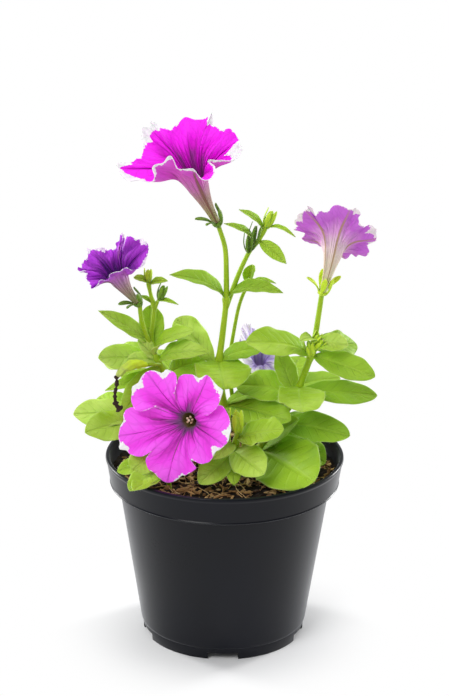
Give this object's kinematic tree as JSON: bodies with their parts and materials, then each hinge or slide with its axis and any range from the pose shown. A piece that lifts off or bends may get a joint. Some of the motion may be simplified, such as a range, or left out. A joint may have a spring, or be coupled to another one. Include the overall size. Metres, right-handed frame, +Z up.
{
  "type": "petunia in nursery pot",
  "caption": "Flowering petunia standing in a round tapered nursery pot with a wide collar rim, filled with bark potting mix.",
  "frame": {"origin": "centre of the pot's foot ring, on the surface it stands on", "axes": "+Z up along the pot's axis, -Y towards the side where the low open flower faces out"},
  "size_m": [0.189, 0.15, 0.3362],
  "materials": {
    "pot_plastic": "satin",
    "potting_mix": "matte",
    "foliage": "matte",
    "petal_magenta": "matte",
    "petal_bright_magenta": "matte",
    "petal_violet": "matte",
    "petal_pale_purple": "matte",
    "petal_lavender": "matte",
    "withered_petal": "matte",
    "dead_petal": "matte"
  },
  "bodies": {
    "root": {"pot": "pot_plastic", "potting_mix": "potting_mix", "main_shoot": "foliage", "thin_shoot": "foliage", "left_shoot": "foliage", "right_shoot": "foliage", "front_shoot": "foliage", "front_pedicel": "foliage", "low_left_shoot": "foliage", "low_front_shoot": "foliage", "back_left_shoot": "foliage", "back_right_shoot": "foliage", "back_pedicel": "foliage", "bloom_front": "petal_magenta", "bloom_top": "petal_bright_magenta", "bloom_left": "petal_violet", "bloom_right": "petal_pale_purple", "bloom_back": "petal_lavender", "spent_tube": "withered_petal", "spent_string": "dead_petal"}
  },
  "joints": []
}
